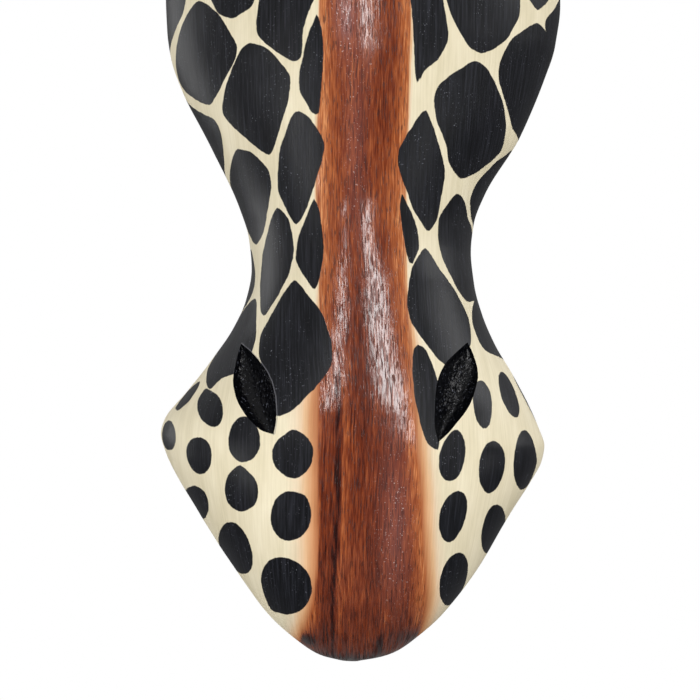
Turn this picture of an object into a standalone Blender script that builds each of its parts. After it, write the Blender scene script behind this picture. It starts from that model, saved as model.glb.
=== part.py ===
"""Carved and painted giraffe face for a wall, in the hand-carved African craft style.

The face is one carved block with a flat, hollowed back. Two horns and two ears are separate
carvings, each set in a shallow socket on a glued dowel. A D-ring hanger is screwed to the back.

Frame: +Z up, the face looks along -Y and the back lies in the plane Y = 0, against the wall.
The origin is on the flat back, on the centre line, just below the hanger. Every piece is built
with its height measured from the tip of the muzzle, under one empty that sets the origin.
"""

import math

import bmesh
import bpy
from mathutils import Vector

MM = 0.001
GAP = 0.3 * MM
LEFT, RIGHT = -1, 1
SIDES = {"left": LEFT, "right": RIGHT}

# ---- Driving dimensions of the face block. Heights run up from the tip of the muzzle. ----
FACE_HEIGHT = 395 * MM
MOUNT_HEIGHT = 312 * MM
EDGE_DEPTH = 14 * MM
BACK_ROUNDING = 7 * MM
SECTION_POWER = 2.2
FACE_STATIONS = 44
FRONT_STEPS = 22
ROUNDING_STEPS = 3

# (height, half width) of the outline seen from the front, in mm.
HALF_WIDTH = [
    (0, 3), (1.2, 8.8), (4.4, 16.6), (12.4, 27.8), (24.4, 39), (48.4, 55.6), (72.4, 70),
    (84, 75.3), (89, 75.9), (96, 73.8), (108.4, 66.5), (120.4, 58.4), (132.4, 51.2),
    (144.4, 46.3), (160, 44), (174.4, 45.9), (192.4, 53.4), (210.4, 63.5), (228.4, 71.7),
    (246.4, 77.3), (260, 78.6), (285, 77.5), (310, 71.5), (335, 63), (358, 55), (374, 49),
    (385, 42), (391, 33), (395, 16),
]  # fmt: skip

# (height, depth of the ridge from the back plane), in mm.
RIDGE_DEPTH = [
    (0, 18), (2, 26), (6, 35), (14, 46), (28, 58), (50, 68), (75, 73), (100, 74), (130, 70.5),
    (160, 67), (200, 70), (240, 78), (275, 84), (305, 86), (335, 81), (360, 72), (378, 60),
    (388, 50), (395, 34),
]  # fmt: skip

# (height, half width) and (height, depth) of the hollow scooped from the back, in mm.
HOLLOW_HALF_WIDTH = [
    (44, 3), (50, 14), (68, 33), (90, 42), (120, 30), (158, 22), (200, 34), (240, 48),
    (268, 50), (288, 40), (297, 24), (300, 5),
]  # fmt: skip
HOLLOW_DEPTH = [
    (44, 5), (60, 24), (90, 38), (158, 31), (200, 34), (250, 46), (280, 40), (295, 24), (300, 6),
]
HOLLOW_OVERRUN = 3 * MM
HOLLOW_STATIONS = 18
HOLLOW_STEPS = 14

# ---- Nostrils and eyes: almond gouge cuts. ----
NOSTRIL_LENGTH = 46 * MM
NOSTRIL_RADIUS = 10.2 * MM
NOSTRIL_CENTRE = Vector((39.2, -62.0, 108.0)) * MM
NOSTRIL_AXIS = Vector((0.385, 0.62, 1.0))
EYE_LENGTH = 50 * MM
EYE_RADIUS = 11 * MM
EYE_CENTRE = Vector((51.7, -67.5, 292.0)) * MM
EYE_AXIS = Vector((0.42, 0.49, 1.0))
EYEBALL_SIZE = Vector((8.0, 8.0, 14.0)) * MM
EYEBALL_INSET = Vector((-3.5, 4.3, 0.0)) * MM

# ---- Horns, each a turned-looking carving with a knob. ----
HORN_FOOT = Vector((23.0, -32.0, 381.0)) * MM
HORN_LEAN = math.radians(9)
# (radius, distance from the foot), from the knob's top down its outer side, in mm.
HORN_PROFILE = [
    (0, 126), (5.5, 125), (9.6, 121.5), (12.2, 116), (12.9, 110), (11.8, 104), (9.6, 99),
    (8.5, 93), (8.4, 80), (9.0, 55), (9.8, 30), (10.8, 10), (11.2, 0),
]  # fmt: skip
HORN_FOOT_RADIUS = 11.2 * MM

# ---- Ears, each a cupped leaf on a round root. ----
EAR_FOOT = Vector((49.8, -33.0, 348.5)) * MM
EAR_RISE = math.radians(24)
EAR_LENGTH = 82 * MM
EAR_ROOT_RADIUS = 8.6 * MM
# (distance from the foot, half width, half thickness, depth of the cup), in mm.
EAR_SECTIONS = [
    (0, 8.6, 8.6, 0), (8, 8.6, 8.6, 0), (13, 9.6, 7.4, 1.2), (20, 13.2, 5.6, 3.6),
    (30, 17.0, 4.4, 6.2), (42, 18.6, 3.8, 7.2), (54, 17.2, 3.5, 6.4), (65, 13.2, 3.2, 4.6),
    (74, 8.0, 2.8, 2.4), (80, 3.4, 2.0, 0.8), (82, 1.0, 1.0, 0.2),
]  # fmt: skip
EAR_RING_POINTS = 20

# ---- Dowels. ----
DOWEL_RADIUS = 4 * MM
EAR_DOWEL_LENGTH = 30 * MM
HORN_DOWEL_LENGTH = 40 * MM
SEAT_CUT_LENGTH = 30 * MM

# ---- Hanger, sunk in a pocket so that the back can lie flat on the wall. ----
HANGER_HEIGHT = 362 * MM
POCKET_DEPTH = 5.5 * MM
POCKET_WIDTH = 24 * MM
POCKET_ABOVE = 16 * MM
POCKET_BELOW = 38 * MM
POCKET_CORNER = 6 * MM
STRAP_WIDTH = 8.4 * MM
STRAP_THICKNESS = 0.9 * MM
STRAP_LENGTH = 34 * MM
CURL_OUTER_RADIUS = 2.3 * MM
CURL_WRAP = math.radians(300)
CURL_STEPS = 20
RING_WIRE_RADIUS = 1.0 * MM
RING_HALF_WIDTH = 7 * MM
RING_SIDE = 5 * MM
RING_CORNER = 1.6 * MM
PIVOT = Vector((0, GAP + CURL_OUTER_RADIUS - POCKET_DEPTH, HANGER_HEIGHT))
SCREW_DROPS = {"upper": 20 * MM, "lower": 28.5 * MM}
SCREW_HEAD_RADIUS = 2.5 * MM
SCREW_HEAD_HEIGHT = 1.5 * MM
SCREW_SHANK_RADIUS = 1.1 * MM
SCREW_LENGTH = 12 * MM
SCREW_SLOT_WIDTH = 0.6 * MM
PILOT_CLEARANCE = 0.35 * MM


def clear_scene():
    for obj in list(bpy.data.objects):
        bpy.data.objects.remove(obj)


def make_collection(name):
    collection = bpy.data.collections.new(name)
    bpy.context.scene.collection.children.link(collection)
    return collection


def smooth(profile, at):
    """The profile's value at a height, on a smooth curve that never overshoots its points."""
    xs = [point[0] for point in profile]
    ys = [point[1] for point in profile]
    at = min(max(at, xs[0]), xs[-1])
    slopes = [(ys[i + 1] - ys[i]) / (xs[i + 1] - xs[i]) for i in range(len(xs) - 1)]
    tangents = [slopes[0]]
    for before, after in zip(slopes, slopes[1:]):
        flat = before * after <= 0
        tangents.append(0 if flat else 2 * before * after / (before + after))
    tangents.append(slopes[-1])
    i = next(i for i in range(len(slopes)) if at <= xs[i + 1])
    span = xs[i + 1] - xs[i]
    t = (at - xs[i]) / span
    low = (1 + 2 * t) * (1 - t) ** 2 * ys[i] + t * (1 - t) ** 2 * span * tangents[i]
    high = t * t * (3 - 2 * t) * ys[i + 1] + t * t * (t - 1) * span * tangents[i + 1]
    return low + high


def face_size(height):
    """Half width, ridge depth and edge depth of the face at a height, in metres."""
    width = smooth(HALF_WIDTH, height / MM) * MM
    depth = smooth(RIDGE_DEPTH, height / MM) * MM
    return width, depth, min(EDGE_DEPTH, depth / 2)


def face_section(height):
    """One closed section of the face block: the back edge's rounding, the front, and back."""
    width, depth, edge = face_size(height)
    rounding = min(BACK_ROUNDING, width / 2)
    half = []
    for i in range(ROUNDING_STEPS):
        angle = math.pi / 2 * i / ROUNDING_STEPS
        across = width - rounding + rounding * math.sin(angle)
        half.append((across, -edge * (1 - math.cos(angle))))
    for i in range(FRONT_STEPS // 2):
        angle = math.pi / 2 * i / (FRONT_STEPS // 2)
        across = width * math.cos(angle) ** (2 / SECTION_POWER)
        out = edge + (depth - edge) * math.sin(angle) ** (2 / SECTION_POWER)
        half.append((across, -out))
    ridge = [(0.0, -depth)]
    mirrored = [(-across, out) for across, out in reversed(half)]
    return [Vector((x, y, height)) for x, y in half + ridge + mirrored]


def mesh_object(name, bm, collection, parent):
    """Makes an object from a bmesh whose faces are turned to point out."""
    bmesh.ops.recalc_face_normals(bm, faces=bm.faces)
    mesh = bpy.data.meshes.new(name)
    bm.to_mesh(mesh)
    bm.free()
    return add_object(name, mesh, collection, parent)


def add_object(name, data, collection, parent):
    obj = bpy.data.objects.new(name, data)
    collection.objects.link(obj)
    obj.parent = parent
    return obj


def loft(name, rings, collection, parent):
    """A closed solid through unlike rings of the same number of points."""
    bm = bmesh.new()
    loops = [[bm.verts.new(point) for point in ring] for ring in rings]
    count = len(loops[0])
    for lower, upper in zip(loops, loops[1:]):
        for i in range(count):
            j = (i + 1) % count
            bm.faces.new((lower[i], lower[j], upper[j], upper[i]))
    bm.faces.new(loops[0])
    bm.faces.new(loops[-1])
    return mesh_object(name, bm, collection, parent)


def cosine_steps(low, high, count):
    """Heights from low to high that lie closer together near both ends."""
    share = [(1 - math.cos(math.pi * i / count)) / 2 for i in range(count + 1)]
    return [low + (high - low) * s for s in share]


def turned(name, profile, collection, parent, steps=20):
    """A solid turned about +Z from (radius, height) points, from the top down."""
    mesh = bpy.data.meshes.new(name)
    points = [(radius, 0, height) for radius, height in profile]
    mesh.from_pydata(points, [(i, i + 1) for i in range(len(points) - 1)], [])
    obj = add_object(name, mesh, collection, parent)
    screw = obj.modifiers.new("turn", "SCREW")
    screw.steps = screw.render_steps = steps
    screw.use_merge_vertices = True
    screw.merge_threshold = 0.01 * MM
    screw.use_smooth_shade = True
    return obj


def point_along(obj, place, direction):
    """Puts the object's origin at a place with its own +Z along a direction."""
    obj.location = place
    obj.rotation_mode = "QUATERNION"
    obj.rotation_quaternion = direction.to_track_quat("Z", "Y")
    return obj


def rod(name, place, direction, radius, start, end, collection, parent, sides=16):
    """A cylinder along a direction through a place, between two distances from it."""
    bm = bmesh.new()
    bmesh.ops.create_cone(
        bm, cap_ends=True, segments=sides, radius1=radius, radius2=radius, depth=end - start
    )
    bmesh.ops.translate(bm, verts=bm.verts, vec=(0, 0, (start + end) / 2))
    return point_along(mesh_object(name, bm, collection, parent), place, direction)


def lemon(name, centre, axis, length, radius, collection, parent, steps=8):
    """A spindle with pointed ends. Half sunk in a surface, it leaves an almond gouge cut."""
    profile = []
    for i in range(steps + 1):
        share = 1 - 2 * i / steps
        profile.append((radius * (1 - share * share), share * length / 2))
    obj = turned(name, profile, collection, parent, steps=14)
    return point_along(obj, centre, axis)


def ellipsoid(name, centre, axis, size, collection, parent):
    bm = bmesh.new()
    bmesh.ops.create_uvsphere(bm, u_segments=14, v_segments=8, radius=1)
    bmesh.ops.scale(bm, verts=bm.verts, vec=size)
    return point_along(mesh_object(name, bm, collection, parent), centre, axis)


def boolean(obj, other, operation="DIFFERENCE"):
    modifier = obj.modifiers.new(other.name, "BOOLEAN")
    modifier.operation = operation
    modifier.solver = "EXACT"
    modifier.object = other


def as_helper(obj):
    obj.hide_render = True
    obj.display_type = "WIRE"
    return obj


def on_both_sides(obj, frame):
    """A helper with its mirror image across the centre plane."""
    mirror = obj.modifiers.new("both_sides", "MIRROR")
    mirror.mirror_object = frame
    mirror.use_mirror_merge = False
    return as_helper(obj)


def to_side(vector, side):
    return Vector((vector.x * side, vector.y, vector.z))


def material(name, colour, roughness, metallic=0.0):
    made = bpy.data.materials.new(name)
    made.use_nodes = True
    shader = made.node_tree.nodes["Principled BSDF"]
    shader.inputs["Base Color"].default_value = (*colour, 1)
    shader.inputs["Roughness"].default_value = roughness
    shader.inputs["Metallic"].default_value = metallic
    return made


def finish(obj, surface, sharp_angle=35):
    """Gives the object its material and smooth shading with sharp edges kept."""
    obj.data.materials.append(surface)
    if obj.type == "MESH":
        obj.data.shade_smooth()
        obj.data.set_sharp_from_angle(angle=math.radians(sharp_angle))
    return obj


def horn_axis(side):
    return Vector((side * math.sin(HORN_LEAN), 0, math.cos(HORN_LEAN)))


def ear_axis(side):
    return Vector((side * math.cos(EAR_RISE), 0, math.sin(EAR_RISE)))


def build_face(parts, cutters, frame, surface):
    """The carved block: outline loft, hollow back, nostrils, eyes, sockets and pilot holes."""
    heights = cosine_steps(0, FACE_HEIGHT, FACE_STATIONS)
    face = loft("face_block", [face_section(h) for h in heights], parts, frame)
    boolean(face, hollow_cutter(cutters, frame))
    boolean(face, pocket_cutter(cutters, frame))
    for cutter in side_cutters(cutters, frame):
        boolean(face, cutter)
    ball = ellipsoid(
        "eyeballs", EYE_CENTRE + EYEBALL_INSET, EYE_AXIS, EYEBALL_SIZE, cutters, frame
    )
    boolean(face, on_both_sides(ball, frame), "UNION")
    for name, drop in SCREW_DROPS.items():
        hole = screw_hole(f"pilot_{name}", drop, cutters, frame)
        boolean(face, hole)
    return finish(face, surface)


def hollow_cutter(cutters, frame):
    """The scoop in the back: half ellipses that start a little behind the back plane."""
    rings = []
    low, high = HOLLOW_DEPTH[0][0], HOLLOW_DEPTH[-1][0]
    for height in cosine_steps(low, high, HOLLOW_STATIONS):
        width = smooth(HOLLOW_HALF_WIDTH, height) * MM
        depth = smooth(HOLLOW_DEPTH, height) * MM
        ring = []
        for i in range(HOLLOW_STEPS + 1):
            angle = math.pi * i / HOLLOW_STEPS
            out = (depth + HOLLOW_OVERRUN) * math.sin(angle) - HOLLOW_OVERRUN
            ring.append(Vector((width * math.cos(angle), -out, height * MM)))
        rings.append(ring)
    return as_helper(loft("hollow", rings, cutters, frame))


def pocket_cutter(cutters, frame):
    """The round-cornered pocket for the hanger, cut straight in from behind."""
    bm = bmesh.new()
    bmesh.ops.create_cube(bm, size=1)
    height = POCKET_ABOVE + POCKET_BELOW
    bmesh.ops.scale(bm, verts=bm.verts, vec=(POCKET_WIDTH, 2 * POCKET_DEPTH, height))
    corners = [edge for edge in bm.edges if edge.verts[0].co.y != edge.verts[1].co.y]
    bmesh.ops.bevel(
        bm, geom=corners, offset=POCKET_CORNER, segments=4, profile=0.5, affect="EDGES"
    )
    pocket = mesh_object("pocket", bm, cutters, frame)
    pocket.location = (0, 0, HANGER_HEIGHT + (POCKET_ABOVE - POCKET_BELOW) / 2)
    return as_helper(pocket)


def screw_hole(name, drop, cutters, frame):
    """The clearance hole of one screw, through the strap and into the block."""
    place = Vector((0, -POCKET_DEPTH, HANGER_HEIGHT - drop))
    radius = SCREW_SHANK_RADIUS + PILOT_CLEARANCE
    return as_helper(
        rod(name, place, Vector((0, 1, 0)), radius, -SCREW_LENGTH, 3 * MM, cutters, frame, 12)
    )


def side_cutters(cutters, frame):
    """What is cut on both sides of the face: nostrils, eyes, and sockets of horns and ears."""
    made = [
        lemon("nostrils", NOSTRIL_CENTRE, NOSTRIL_AXIS, NOSTRIL_LENGTH, NOSTRIL_RADIUS,
              cutters, frame),
        lemon("eyes", EYE_CENTRE, EYE_AXIS, EYE_LENGTH, EYE_RADIUS, cutters, frame),
    ]  # fmt: skip
    joints = [
        ("horn", HORN_FOOT, horn_axis(RIGHT), HORN_FOOT_RADIUS, HORN_DOWEL_LENGTH),
        ("ear", EAR_FOOT, ear_axis(RIGHT), EAR_ROOT_RADIUS, EAR_DOWEL_LENGTH),
    ]
    for piece, foot, axis, radius, dowel in joints:
        made.append(
            rod(f"{piece}_seats", foot, axis, radius + GAP, -GAP, SEAT_CUT_LENGTH, cutters, frame)
        )
        made.append(
            rod(f"{piece}_bores", foot, axis, DOWEL_RADIUS + GAP, -dowel / 2 - GAP, 5 * MM,
                cutters, frame)
        )  # fmt: skip
    return [on_both_sides(obj, frame) for obj in made]


def add_dowel(piece, name, foot, axis, length, parts, frame, surface):
    """A round dowel, half in the face block and half in the piece that stands on it."""
    dowel = rod(
        f"{piece}_dowel_{name}", foot, axis, DOWEL_RADIUS, -length / 2, length / 2, parts, frame
    )
    bevel = dowel.modifiers.new("chamfer", "BEVEL")
    bevel.width = 0.6 * MM
    bevel.segments = 1
    bevel.limit_method = "ANGLE"
    return finish(dowel, surface)


def build_horn(name, side, parts, frame, surface):
    """The horn is turned in one go with the bore for its dowel."""
    profile = [(radius * MM, height * MM) for radius, height in HORN_PROFILE]
    bore_radius, bore_top = DOWEL_RADIUS + GAP, HORN_DOWEL_LENGTH / 2 + GAP
    profile += [(bore_radius, 0), (bore_radius, bore_top), (0, bore_top)]
    horn = turned(f"horn_{name}", profile, parts, frame)
    point_along(horn, to_side(HORN_FOOT, side), horn_axis(side))
    return finish(horn, surface)


def ear_ring(distance, half_width, half_thickness, cup):
    """A section across the ear: an ellipse whose middle is pushed back to make the cup."""
    ring = []
    for i in range(EAR_RING_POINTS):
        angle = 2 * math.pi * i / EAR_RING_POINTS
        up = half_width * math.sin(angle)
        bend = cup * (1 - (up / half_width) ** 2)
        ring.append(Vector((distance, half_thickness * math.cos(angle) + bend, up)) * MM)
    return ring


def build_ear(name, side, parts, cutters, frame, surface):
    """The ear is lofted along its own +X, then raised and set on its socket."""
    rings = []
    for section in EAR_SECTIONS:
        ring = ear_ring(*section)
        turned_up = []
        for point in ring:
            along = point.x * math.cos(EAR_RISE) - point.z * math.sin(EAR_RISE)
            rise = point.x * math.sin(EAR_RISE) + point.z * math.cos(EAR_RISE)
            turned_up.append(Vector((side * along, point.y, rise)))
        rings.append(turned_up)
    ear = loft(f"ear_{name}", rings, parts, frame)
    ear.location = to_side(EAR_FOOT, side)
    bore = rod(
        f"ear_{name}_bore", to_side(EAR_FOOT, side), ear_axis(side), DOWEL_RADIUS + GAP,
        -5 * MM, EAR_DOWEL_LENGTH / 2 + GAP, cutters, frame,
    )  # fmt: skip
    boolean(ear, as_helper(bore))
    return finish(ear, surface)


def curve_object(name, splines, collection, parent, flat):
    """A curve of closed POLY splines: a filled flat outline, or the line of a wire."""
    curve = bpy.data.curves.new(name, "CURVE")
    curve.dimensions = "2D" if flat else "3D"
    for points in splines:
        spline = curve.splines.new("POLY")
        spline.points.add(len(points) - 1)
        for slot, point in zip(spline.points, points):
            slot.co = (*point, 1)
        spline.use_cyclic_u = True
    return add_object(name, curve, collection, parent)


def strap_outline():
    """The strap's side view, x up from the pivot and y behind it: a plate and its curl."""
    outer = CURL_OUTER_RADIUS
    inner = outer - STRAP_THICKNESS
    points = [(-STRAP_LENGTH, -outer), (0, -outer)]
    angles = [-math.pi / 2 + CURL_WRAP * i / CURL_STEPS for i in range(1, CURL_STEPS + 1)]
    points += [(outer * math.cos(a), outer * math.sin(a)) for a in angles]
    points += [(inner * math.cos(a), inner * math.sin(a)) for a in reversed(angles)]
    points += [(0, -inner), (-STRAP_LENGTH, -inner)]
    return [(x, y, 0) for x, y in points]


def build_strap(parts, cutters, frame, surface):
    """The strap plate, curled round the ring's bar and pierced for two screws."""
    outline = curve_object("strap_outline", [strap_outline()], cutters, frame, flat=True)
    outline.data.fill_mode = "BOTH"
    outline.data.extrude = STRAP_WIDTH / 2
    graph = bpy.context.evaluated_depsgraph_get()
    mesh = bpy.data.meshes.new_from_object(outline.evaluated_get(graph))
    bpy.data.objects.remove(outline)
    bm = bmesh.new()
    bm.from_mesh(mesh)
    bmesh.ops.remove_doubles(bm, verts=bm.verts, dist=0.01 * MM)
    strap = mesh_object("hanger_strap", bm, parts, frame)
    strap.location = PIVOT
    strap.rotation_euler = (0, -math.pi / 2, 0)
    for name, drop in SCREW_DROPS.items():
        boolean(strap, screw_hole(f"strap_hole_{name}", drop, cutters, frame))
    return finish(strap, surface)


def ring_line():
    """The centre line of the D-ring: a straight bar on the pivot, sides and a round bow."""
    half, corner = RING_HALF_WIDTH, RING_CORNER
    points = [(-half + corner, 0, 0), (0, 0, 0), (half - corner, 0, 0)]
    for i in range(1, 5):
        angle = math.pi / 2 * (1 - i / 4)
        x = half - corner + corner * math.cos(angle)
        points.append((x, 0, -corner + corner * math.sin(angle)))
    for i in range(17):
        angle = -math.pi * i / 16
        points.append((half * math.cos(angle), 0, -RING_SIDE + half * math.sin(angle)))
    for i in range(4):
        angle = math.pi - math.pi / 2 * i / 4
        x = -half + corner + corner * math.cos(angle)
        points.append((x, 0, -corner + corner * math.sin(angle)))
    return points


def build_ring(parts, frame, surface):
    """The D-ring, with its origin on the hinge axis and hanging down as it does when free."""
    ring = curve_object("hanger_ring", [ring_line()], parts, frame, flat=False)
    ring.data.bevel_depth = RING_WIRE_RADIUS
    ring.data.bevel_resolution = 2
    ring.location = PIVOT
    return finish(ring, surface)


def build_screw(name, drop, parts, cutters, frame, surface):
    """A slotted round-head screw, which passes through the strap into the block."""
    top, head, shank = SCREW_HEAD_HEIGHT, SCREW_HEAD_RADIUS, SCREW_SHANK_RADIUS
    profile = [
        (0, top), (head * 0.55, top * 0.9), (head * 0.9, top * 0.5), (head, 0), (shank, 0),
        (shank, -SCREW_LENGTH * 0.75), (0, -SCREW_LENGTH),
    ]  # fmt: skip
    seat = Vector((0, 2 * GAP + STRAP_THICKNESS - POCKET_DEPTH, HANGER_HEIGHT - drop))
    screw = turned(name, profile, parts, frame, steps=16)
    point_along(screw, seat, Vector((0, 1, 0)))
    slot = bmesh.new()
    bmesh.ops.create_cube(slot, size=1)
    bmesh.ops.scale(slot, verts=slot.verts, vec=(4 * head, top * 0.9, SCREW_SLOT_WIDTH))
    cutter = mesh_object(f"{name}_slot", slot, cutters, frame)
    cutter.location = seat + Vector((0, top, 0))
    boolean(screw, as_helper(cutter))
    return finish(screw, surface)


def main():
    clear_scene()
    parts = make_collection("giraffe_face")
    cutters = make_collection("cutters")
    frame = bpy.data.objects.new("muzzle_tip", None)
    parts.objects.link(frame)
    frame.location = (0, 0, -MOUNT_HEIGHT)
    bpy.context.view_layer.update()

    painted = material("painted_wood", (0.80, 0.70, 0.50), 0.45)
    stained = material("stained_wood", (0.26, 0.09, 0.035), 0.35)
    plain = material("plain_wood", (0.62, 0.45, 0.27), 0.7)
    brass = material("hanger_brass", (0.72, 0.53, 0.24), 0.35, metallic=1.0)
    steel = material("screw_steel", (0.60, 0.60, 0.60), 0.3, metallic=1.0)

    build_face(parts, cutters, frame, painted)
    for name, side in SIDES.items():
        build_horn(name, side, parts, frame, stained)
        build_ear(name, side, parts, cutters, frame, painted)
        add_dowel(
            "horn", name, to_side(HORN_FOOT, side), horn_axis(side), HORN_DOWEL_LENGTH,
            parts, frame, plain,
        )  # fmt: skip
        add_dowel(
            "ear", name, to_side(EAR_FOOT, side), ear_axis(side), EAR_DOWEL_LENGTH,
            parts, frame, plain,
        )  # fmt: skip
    build_strap(parts, cutters, frame, brass)
    build_ring(parts, frame, brass)
    for name, drop in SCREW_DROPS.items():
        build_screw(f"hanger_screw_{name}", drop, parts, cutters, frame, steel)


main()
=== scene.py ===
"""Looks for the carved and painted giraffe face.

Shapes are worked out in millimetres as (x, y, height), with the height measured up from the tip
of the muzzle and y running from the front to the flat back at 0. place() turns them into metres
in the shared frame.
"""

import math

import bmesh
import bpy
import numpy as np
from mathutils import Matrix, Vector, noise


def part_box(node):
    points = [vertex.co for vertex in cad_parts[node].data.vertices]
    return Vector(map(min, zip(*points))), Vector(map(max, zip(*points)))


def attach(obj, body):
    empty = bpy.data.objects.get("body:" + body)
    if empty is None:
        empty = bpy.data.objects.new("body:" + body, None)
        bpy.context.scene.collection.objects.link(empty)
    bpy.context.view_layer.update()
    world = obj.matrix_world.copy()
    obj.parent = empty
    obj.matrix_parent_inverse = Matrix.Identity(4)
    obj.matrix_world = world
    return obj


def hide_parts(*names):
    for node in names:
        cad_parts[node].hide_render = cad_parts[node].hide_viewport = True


MM = 0.001
SIDES = {"left": -1, "right": 1}

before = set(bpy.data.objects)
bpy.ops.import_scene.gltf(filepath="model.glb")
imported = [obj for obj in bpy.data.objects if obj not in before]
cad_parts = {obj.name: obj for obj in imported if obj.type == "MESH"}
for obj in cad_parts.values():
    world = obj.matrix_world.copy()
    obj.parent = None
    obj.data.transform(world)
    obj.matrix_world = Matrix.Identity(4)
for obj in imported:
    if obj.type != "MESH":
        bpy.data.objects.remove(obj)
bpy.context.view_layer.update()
TIP_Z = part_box("face_block")[0].z
FACE_HEIGHT = (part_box("face_block")[1].z - TIP_Z) / MM

# ---- The carved block, each profile as (height, value) in mm. ----
LEFT_EDGE = [
    (0, -8), (1, -11), (2, -14), (4, -18), (8, -23.5), (18, -34.5), (36, -48), (60, -63.5),
    (84, -76.5), (91, -78.2), (96, -77), (108, -67.5), (120, -58.2), (132, -50), (144, -44.5),
    (156, -42.2), (168, -43.2), (180, -46.8), (204, -58), (228, -70), (240, -74.2), (252, -76),
    (285, -77), (310, -71), (335, -63), (358, -55), (374, -48.5), (385, -41), (391, -32),
    (395, -15),
]
RIGHT_EDGE = [
    (0, 2), (1, 7), (2, 11), (4, 16), (8, 22), (18, 33.5), (36, 47.5), (60, 61.8), (72, 69.4),
    (80, 73.6), (86, 74.6), (92, 72.8), (102, 68.6), (114, 62.2), (126, 55.2), (138, 50),
    (150, 46.8), (162, 45.6), (174, 46.8), (186, 51.2), (210, 65.6), (234, 75.6), (246, 79.4),
    (262, 81.2), (285, 79.5), (310, 73), (335, 63.5), (358, 55), (374, 48.5), (385, 41),
    (391, 32), (395, 15),
]
RIDGE_X = [(0, -1), (55, -0.4), (90, 0.8), (106, 1.1), (124, 0.2), (150, -0.8), (175, -1.5),
           (220, -1.2), (240, -0.9), (264, -0.9), (340, 0)]
RIDGE_DEPTH = [
    (0, 18), (2, 26), (6, 35), (14, 46), (28, 58), (50, 68), (75, 73), (100, 74), (130, 70.5),
    (160, 67.5), (180, 68), (190, 69), (236, 77.5), (250, 78.6), (264, 79.3), (290, 83.5),
    (305, 85), (335, 81), (360, 72), (378, 60), (388, 50), (395, 34),
]
EDGE_DEPTH = 14
BACK_ROUNDING = 7
# A lower power makes a sharper ridge, as (height, power).
SECTION_POWER = [(0, 2.2), (80, 2.15), (100, 1.98), (115, 1.96), (150, 2), (165, 1.82),
                 (180, 1.72), (210, 1.6), (235, 1.48), (264, 1.45), (310, 2), (395, 2.2)]
FRONT_STEPS = 72
ROUNDING_STEPS = 6
ROW_STEP = 1.25
TIP_ROWS, TIP_SPAN = 16, 14
CROWN_ROWS, CROWN_SPAN = 14, 15
KNIFE_WAVE, KNIFE_WIDE, KNIFE_NARROW, KNIFE_CENTRE = 0.3, 31.0, 13.0, 20

HOLLOW_HALF_WIDTH = [
    (44, 3), (50, 14), (68, 33), (90, 42), (120, 30), (158, 22), (200, 34), (240, 48),
    (268, 50), (288, 40), (297, 24), (300, 5),
]
HOLLOW_DEPTH = [
    (44, 5), (60, 24), (90, 38), (158, 31), (200, 34), (250, 46), (280, 40), (295, 24), (300, 6),
]
# How wide and how deep the mouth of the gouge marks it.
GOUGE_MARK, GOUGE_DEPTH = 10, 2.2
HOLLOW_ROWS, HOLLOW_STEPS = 86, 49
POCKET_TOP, POCKET_BOTTOM, POCKET_HALF_WIDTH, POCKET_CORNER, POCKET_DEPTH = 378, 324, 12, 6, 5.5
PILOT_RADIUS, PILOT_DEPTH = 1.45, 20.5

# ---- Nostrils: the left and right edges of each, seen from the front, as (height, x). ----
NOSTRILS = {
    "left": (
        [(92, -31.5), (93.5, -36.5), (95.5, -39), (99, -42.5), (103.5, -45.5), (107, -47),
         (112.5, -48), (118, -47.2), (123.5, -46), (126.5, -45)],
        [(92, -31.5), (98.5, -30.5), (106, -31), (112, -32.5), (116, -34.5), (120, -37.5),
         (123.5, -41), (126.5, -45)],
    ),
    "right": (
        [(89, 30.5), (96.5, 29), (104.5, 29.2), (109.5, 29.6), (114, 30.8), (119, 33.5),
         (122, 36.5), (125, 40), (127, 42.5)],
        [(89, 30.5), (93, 35), (96.5, 38), (100, 41), (104, 43.5), (110.5, 45.8), (114, 46.6),
         (117, 46.4), (120.5, 45.5), (124, 44.2), (127, 42.5)],
    ),
}
NOSTRIL_DEPTH, NOSTRIL_MARGIN = 8.5, 0.6
NOSTRIL_ROWS, NOSTRIL_STEPS, NOSTRIL_FIRST_ROW = 48, 33, 0.06
# How full the bowl is across and along, and how wide and high its lumps are.
NOSTRIL_BOWL, NOSTRIL_LUMP = (0.8, 0.6), (2.4, 0.5)
# Where a thin highlight is painted along the left one's sharp rim: the middle of the area as (x,
# height), and its reach.
RIM_HIGHLIGHT_MIDDLE, RIM_HIGHLIGHT_REACH = (-38, 109), (14, 24)
CUTTER_MARGIN = 6

# ---- Eyes: centre, axis, length and radius of the spindle that each gouge follows. ----
EYE_CENTRE, EYE_AXIS, EYE_LENGTH, EYE_RADIUS = (51.7, -67.5, 292.0), (0.42, 0.49, 1.0), 50, 11
EYEBALL_WIDTH, EYEBALL_LENGTH, EYEBALL_INSET = 16, 28, (-3.5, 4.3, 0.0)
EYE_LINER, EYE_RING, EYE_UNEVEN = 1.5, 4.6, (0.12, 2.6)

# ---- The stained stripe: its edges as (height, x), and how fast each fades out. ----
STRIPE_LEFT = [
    (0, -26), (10, -22.5), (28, -16.8), (44, -15), (75, -14.7), (100, -15), (125, -14.3),
    (154, -14), (181, -15.2), (253, -14), (330, -12), (395, -9),
]
STRIPE_RIGHT = [
    (0, 16), (10, 24), (28, 26.5), (44, 25.6), (60, 24.6), (75, 23.8), (85, 22.8), (100, 21.6),
    (125, 20), (154, 18), (181, 18), (253, 20), (330, 14), (395, 9),
]
FADE_LEFT = [(0, 7), (30, 10.5), (44, 12), (100, 12.5), (113, 8), (125, 4), (154, 1.6), (253, 1.3),
             (395, 1.2)]
FADE_RIGHT = [(0, 6), (30, 9), (75, 8.5), (110, 7.5), (135, 4), (154, 1.8), (253, 1.4),
              (395, 1.2)]
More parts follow.
